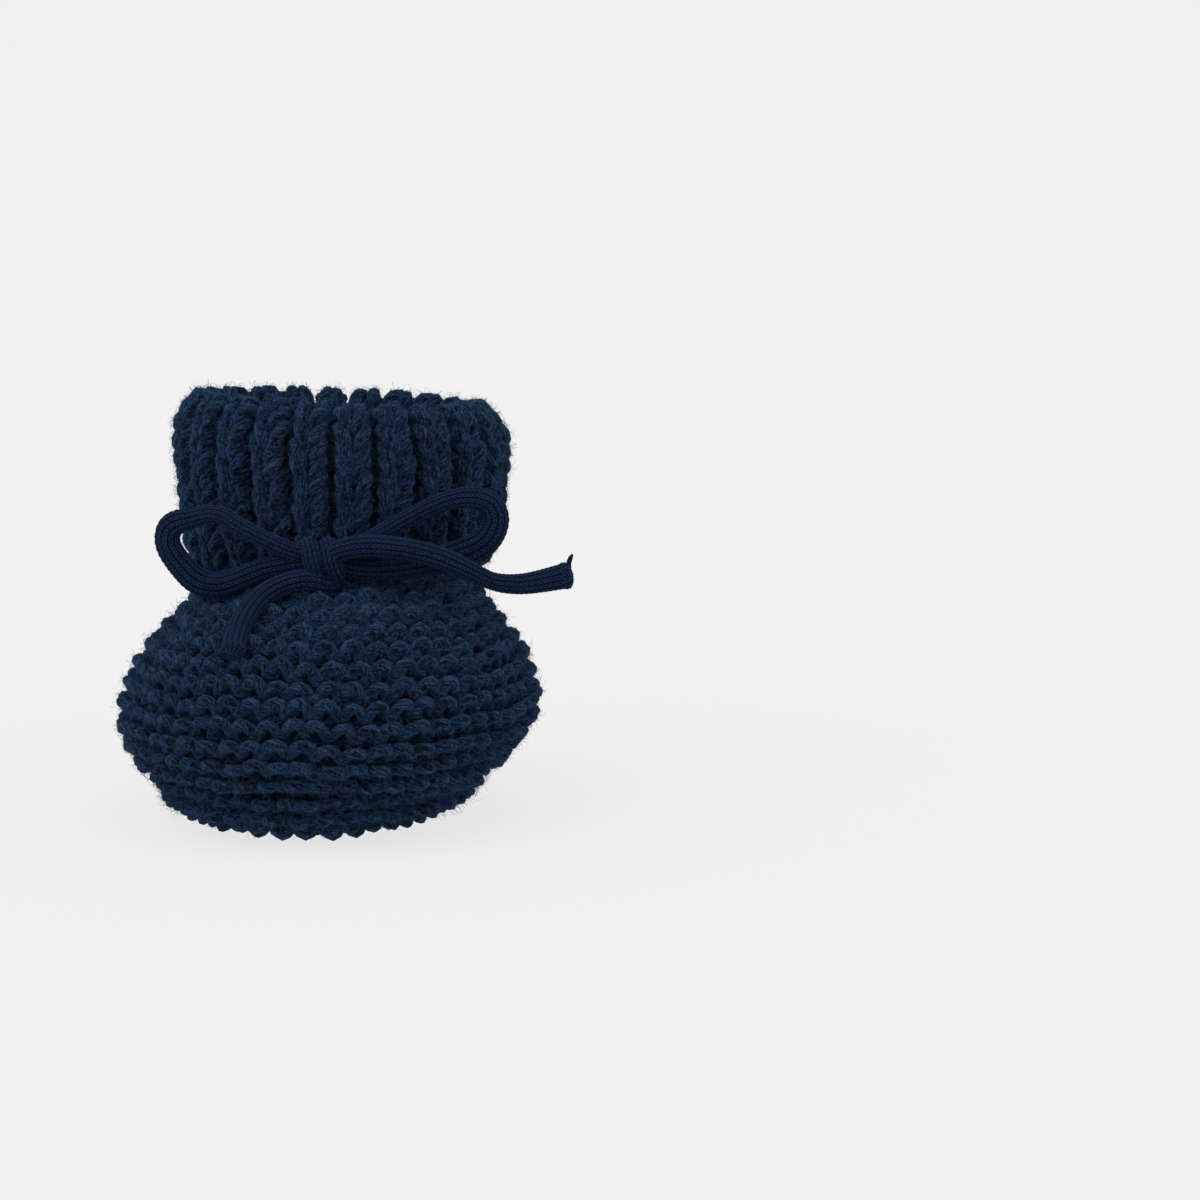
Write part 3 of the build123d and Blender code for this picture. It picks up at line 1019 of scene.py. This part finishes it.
class BOOTIE_OT_foot(BootieOperator, bpy.types.Operator):
    """Garter-stitch foot and sole"""

    bl_idname = "bootie.foot"
    bl_label = "Foot and Sole"

    def execute(self, context):
        yarn, colours = self.settings(context)
        wool = plied_wool("garter_wool", colours.wool, colours.wool_glow)
        tree = sweep_tree()
        rng = np.random.default_rng(41)
        skin = Skin(FOOT_RINGS)
        steps = skin.spread(yarn.ridge_pitch / 2, 0.25)
        courses = garter_courses(skin, steps, np.gradient(steps), yarn.stitch_width, rng)
        foot = grown("foot_stitches", guide_mesh("foot_courses", courses), tree,
                     {"Radius": yarn.foot_radius, "Sides": 7}, wool)
        settle(foot, ROOT_BODY, ["foot_upper"])

        under = Skin(SOLE_RINGS)
        steps = np.arange(1.5 * MM, under.length, SOLE_COURSE)
        courses = garter_courses(under, steps, np.full(len(steps), SOLE_COURSE),
                                 yarn.stitch_width * SOLE_SCALE, rng)
        sole = grown("sole_stitches", guide_mesh("sole_courses", courses), tree,
                     {"Radius": yarn.foot_radius * SOLE_SCALE, "Sides": 7}, wool)
        settle(sole, ROOT_BODY, ["sole"])
        return {"FINISHED"}


class BOOTIE_OT_cuff(BootieOperator, bpy.types.Operator):
    """Ribbed leg and turned-down cuff"""

    bl_idname = "bootie.cuff"
    bl_label = "Leg and Cuff"

    def execute(self, context):
        yarn, colours = self.settings(context)
        wool = plied_wool("rib_wool", colours.wool, colours.wool_glow)
        tree = sweep_tree()
        rng = np.random.default_rng(17)
        skin = Skin(CUFF_RINGS)
        steps = np.arange(1.2 * MM, skin.length - 2 * MM, yarn.rib_stitch)
        courses = [rib_course(skin, along, yarn.ribs, yarn.rib_stitch, rng) for along in steps]
        fold = int(np.sum(steps < skin.knots[7]))
        cuff = grown("cuff_stitches", guide_mesh("cuff_courses", courses[:fold]), tree,
                     {"Radius": yarn.rib_radius, "Sides": 8}, wool)
        settle(cuff, ROOT_BODY, ["turned_cuff"])
        ankle = Skin(ANKLE_RINGS)
        below = [rib_course(ankle, along, yarn.ribs, yarn.rib_stitch, rng)
                 for along in np.arange(1.0 * MM, ankle.length, yarn.rib_stitch)]
        leg = grown("leg_stitches", guide_mesh("leg_courses", courses[fold:] + below), tree,
                    {"Radius": yarn.rib_radius, "Sides": 8}, wool)
        settle(leg, ROOT_BODY, ["leg_rib"])
        return {"FINISHED"}


class BOOTIE_OT_lining(BootieOperator, bpy.types.Operator):
    """Fabric behind the stitches"""

    bl_idname = "bootie.lining"
    bl_label = "Lining"

    def execute(self, context):
        _, colours = self.settings(context)
        lining = piece("lining", shell_mesh("lining", LINING_RINGS))
        lining.data.materials.append(lining_painted_shade("lining_painted_shade", colours.wool, colours.wool_glow))
        settle(lining, ROOT_BODY)
        return {"FINISHED"}


class BOOTIE_OT_seams(BootieOperator, bpy.types.Operator):
    """Overcast seams up the back and along the sole"""

    bl_idname = "bootie.seams"
    bl_label = "Seams"

    def execute(self, context):
        _, colours = self.settings(context)
        wool = plied_wool("seam_wool", colours.wool, colours.wool_glow)
        tree = sweep_tree()
        count = 420
        share = np.linspace(0, 1, count)
        foot, cuff = Skin(FOOT_RINGS), Skin(CUFF_RINGS)
        lines = []
        for skin, start, end, turns in ((foot, 0.05, 0.97, 14), (cuff, 0.02, 0.42, 11)):
            swing = share * turns * FULL_TURN
            angle = math.pi / 2 + 1.3 * MM * np.cos(swing) / (30 * MM)
            along = (start + (end - start) * share) * skin.length
            out = 1.1 * MM + 0.7 * MM * np.sin(swing)
            lines.append(even_thread(skin.place(angle, along, out)))
        back = grown("back_seam_stitches", guide_mesh("back_threads", lines, False), tree,
                     {"Radius": BACK_THREAD, "Sides": 7}, wool)
        settle(back, ROOT_BODY, ["back_seam_yarn"])
        swing = share * 15 * FULL_TURN
        depth = -26 * MM + 54 * MM * share
        across = -1.8 * MM + 1.5 * MM * np.cos(swing)
        height = 1.05 * MM + 0.25 * MM * np.sin(swing)
        thread = even_thread(np.stack([across, depth, height], axis=1))
        under = grown("sole_seam_stitches", guide_mesh("sole_threads", [thread], False), tree,
                      {"Radius": SOLE_THREAD, "Sides": 7}, wool)
        settle(under, ROOT_BODY, ["sole_seam_yarn"])
        return {"FINISHED"}


class BOOTIE_OT_drawstring(BootieOperator, bpy.types.Operator):
    """Knitted drawstring: round the ankle, its knot, two loops and two tails"""

    bl_idname = "bootie.drawstring"
    bl_label = "Drawstring and Bow"

    def strand(self, knit, name, route, width_along, flat_along=None):
        """One free strand that follows its own route."""
        line = even_steps(route_line(route), 0.5 * MM)[0]
        mesh, length = cord_mesh(name, line, CORD_WIDTH / 2, profile=width_along, broad=flat_along)
        return knitted(name + "_cord", mesh, knit, name, [name]), line, length

    def cast_off(self, knit, name, line, radius, body):
        """The bound end of a tail: a rounded cap with its last thread standing up."""
        way = line[-1] - line[-6]
        way /= np.linalg.norm(way)
        cap = np.array([line[-1] + way * step for step in np.linspace(-0.8, 1.3, 9) * MM])
        mesh, _ = cord_mesh(name + "_end", cap, radius, profile=CAP_WIDTH, pitch=0.8 * MM,
                            step=0.1 * MM)
        side = np.cross(way, (0.0, 1.0, 0.0))
        side /= np.linalg.norm(side)
        if side[2] < 0:
            side = -side
        start = cap[-3] + side * radius * 0.5
        nib = np.array([start + side * step * 0.9 + way * step * step * 180 for step in
                        np.linspace(0, 2.6, 8) * MM])
        thread, _ = cord_mesh(name + "_nib", nib, 0.55 * MM, wales=5, pitch=0.8 * MM,
                              relief=0.1 * MM, sides=20, profile=NIB_WIDTH)
        return [knitted(name + "_end", mesh, knit, body, [name]),
                knitted(name + "_nib", thread, knit, body)]

    def execute(self, context):
        _, colours = self.settings(context)
        knit = fine_knit("drawstring_knit", colours.cord, colours.cord_glow)
        exit_point = LEFT_LOOP[0]
        for name, route, flat in (("left_loop", LEFT_LOOP, LEFT_LOOP_FLAT),
                                  ("right_loop", RIGHT_LOOP, RIGHT_LOOP_FLAT)):
            made, line, length = self.strand(knit, name, route, LOOP_WIDTH, flat)
        for name, route, width in (("right_tail", RIGHT_TAIL, RIGHT_TAIL_WIDTH),
                                   ("left_tail", LEFT_TAIL, LEFT_TAIL_WIDTH)):
            made, line, length = self.strand(knit, name, route, width)
            radius = CORD_WIDTH / 2 * width[-1][1]
            ends = self.cast_off(knit, name + "_cast_off", line, radius, name)
        middle = np.array(exit_point)
        turn = np.linspace(0, KNOT_TURNS, 90)
        coil = np.stack([
            KNOT_START + KNOT_RUN * turn / KNOT_TURNS,
            KNOT_DEPTH * np.cos(turn + KNOT_PHASE),
            KNOT_RISE * np.sin(turn + KNOT_PHASE),
        ], axis=1) + middle
        mesh, _ = cord_mesh("knot_turns", coil, KNOT_RADIUS)
        knitted("knot_turns", mesh, knit, ROOT_BODY, ["bow_knot"])
        angle = np.arange(480) / 480 * FULL_TURN
        _, half, front, widest, back, aside = np.array(ANKLE_RINGS[1]) * MM
        depth = np.where(np.sin(angle) < 0, widest - front, back - widest)
        stand = ANKLE_STAND + ANKLE_SWING * np.cos(angle * ANKLE_WAVES)
        ring = np.stack([aside + (half + stand) * np.cos(angle),
                         widest + (depth + stand) * np.sin(angle),
                         np.full(angle.shape, ANKLE_HEIGHT)], axis=1)
        mesh, _ = cord_mesh("ankle_cord", ring, ANKLE_CORD_RADIUS, closed=True, sides=40,
                            step=0.36 * MM, wales=10, pitch=1.4 * MM)
        knitted("ankle_cord", mesh, knit, ROOT_BODY, ["ankle_drawstring"])
        return {"FINISHED"}


class BOOTIE_OT_nap(BootieOperator, bpy.types.Operator):
    """Loose fibres that stand off the wool"""

    bl_idname = "bootie.nap"
    bl_label = "Nap"

    def execute(self, context):
        yarn, colours = self.settings(context)
        fibre = nap_wool_painted_sheen("nap_wool_painted_sheen", colours.wool, colours.wool_glow)
        tree = nap_tree()
        for name, source, slot, density, length, seed in NAP:
            mesh = bpy.data.objects[source].data.copy()
            made = grown(name, mesh, tree, {
                "Density": density, "Length": yarn.nap_length * length,
                "Breadth": NAP_BREADTH * yarn.nap_radius, "Seed": seed, "Lean": NAP_LEAN}, fibre)
            settle(made, ROOT_BODY)
        return {"FINISHED"}


STEPS = (BOOTIE_OT_stage, BOOTIE_OT_drawstring, BOOTIE_OT_foot, BOOTIE_OT_cuff,
         BOOTIE_OT_lining, BOOTIE_OT_seams, BOOTIE_OT_nap)


class BOOTIE_PT_panel(bpy.types.Panel):
    """Steps of the bootie"""

    bl_label = "Bootie"
    bl_idname = "BOOTIE_PT_panel"
    bl_space_type = "VIEW_3D"
    bl_region_type = "UI"
    bl_category = "Bootie"

    def draw(self, context):
        for step in STEPS:
            self.layout.operator(step.bl_idname)


CLASSES = (BootieYarn, BootieColours, *STEPS, BOOTIE_PT_panel)


def register():
    for item in CLASSES:
        bpy.utils.register_class(item)
    bpy.types.Scene.bootie_yarn = bpy.props.PointerProperty(type=BootieYarn)
    bpy.types.Scene.bootie_colours = bpy.props.PointerProperty(type=BootieColours)


def unregister():
    del bpy.types.Scene.bootie_colours
    del bpy.types.Scene.bootie_yarn
    for item in reversed(CLASSES):
        bpy.utils.unregister_class(item)


def main():
    register()
    bpy.ops.bootie.stage()
    bpy.ops.bootie.drawstring()
    bpy.ops.bootie.foot()
    bpy.ops.bootie.cuff()
    bpy.ops.bootie.lining()
    bpy.ops.bootie.seams()
    bpy.ops.bootie.nap()


if __name__ == "__main__":
    main()
